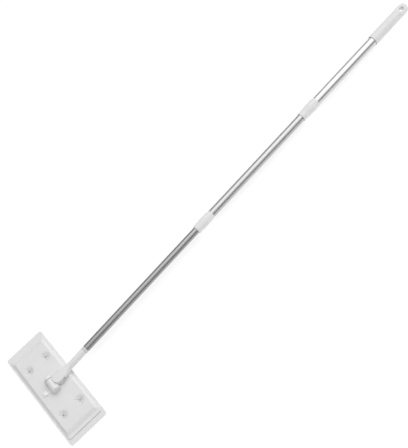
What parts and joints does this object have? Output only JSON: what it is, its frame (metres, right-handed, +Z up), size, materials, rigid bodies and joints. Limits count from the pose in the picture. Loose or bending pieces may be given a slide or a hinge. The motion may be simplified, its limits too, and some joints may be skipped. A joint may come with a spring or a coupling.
{
  "type": "telescopic flat head floor wiper",
  "caption": "Flat rectangular wiper head with slit cloth grippers on a universal joint, carried by a telescopic metal pole with twist locks and a grip with a hanging hole.",
  "frame": {"origin": "centre of the underside of the sole pad, where the head rests on the floor", "axes": "+Z up, +X along the head's long side, +Y from the head towards the pole, which lies back with its grip on the floor and turned 5 degrees towards -X"},
  "size_m": [0.28, 1.3421, 0.038],
  "materials": {
    "sole_foam": "matte closed-cell foam",
    "head_plastic": "satin moulded",
    "gripper_elastomer": "matte elastomer",
    "gloss_plastic": "polished",
    "joint_plastic": "satin moulded",
    "inner_plastic": "natural moulded",
    "collar_plastic": "satin moulded",
    "grip_plastic": "satin moulded",
    "lower_aluminium": "drawn and anodised",
    "middle_aluminium": "drawn and anodised",
    "top_aluminium": "drawn and anodised",
    "steel": "plain"
  },
  "bodies": {
    "head": {"sole_pad": "sole_foam", "base_plate": "head_plastic", "top_cover": "head_plastic", "cloth_gripper_1": "gripper_elastomer", "cloth_gripper_2": "gripper_elastomer", "cloth_gripper_3": "gripper_elastomer", "cloth_gripper_4": "gripper_elastomer", "cover_screw_1": "steel", "cover_screw_2": "steel", "cover_screw_3": "steel", "cover_screw_4": "steel", "cradle_screw_1": "steel", "cradle_screw_2": "steel", "neck_rest": "gloss_plastic", "joint_cradle": "head_plastic", "pitch_pin": "steel"},
    "knuckle": {"knuckle": "joint_plastic", "swing_pin": "steel"},
    "lower_pole": {"neck_adapter": "joint_plastic", "pole_tip": "inner_plastic", "lower_tube": "lower_aluminium", "lower_guide_bush": "inner_plastic"},
    "lower_lock": {"lower_lock_collar": "collar_plastic"},
    "middle_pole": {"lower_collet": "inner_plastic", "middle_tube": "middle_aluminium", "middle_guide_bush": "inner_plastic"},
    "upper_lock": {"upper_lock_collar": "collar_plastic"},
    "upper_pole": {"upper_collet": "inner_plastic", "top_tube": "top_aluminium", "grip_sleeve": "grip_plastic", "grip_cap": "grip_plastic"}
  },
  "joints": [
    {"name": "head_pitch", "type": "hinge", "parent": "head", "child": "knuckle", "pos_m": [0, 0, 0.027], "axis": [1, 0, 0], "range_deg": [0, 176]},
    {"name": "neck_swing", "type": "hinge", "parent": "knuckle", "child": "lower_pole", "pos_m": [0, 0.02, 0.02679], "axis": [0, 0.0103, 0.9999], "range_deg": [-70, 60]},
    {"name": "lower_slide", "type": "slide", "parent": "lower_pole", "child": "middle_pole", "axis": [-0.0872, 0.9961, -0.0103], "range_m": [-0.245, 0]},
    {"name": "lower_lock_twist", "type": "hinge", "parent": "middle_pole", "child": "lower_lock", "pos_m": [-0.04393, 0.52205, 0.0216], "axis": [-0.0872, 0.9961, -0.0103], "range_deg": [-90, 0]},
    {"name": "upper_slide", "type": "slide", "parent": "middle_pole", "child": "upper_pole", "axis": [-0.0872, 0.9961, -0.0103], "range_m": [-0.235, 0]},
    {"name": "upper_lock_twist", "type": "hinge", "parent": "upper_pole", "child": "upper_lock", "pos_m": [-0.07774, 0.90856, 0.0176], "axis": [-0.0872, 0.9961, -0.0103], "range_deg": [-90, 0]}
  ]
}
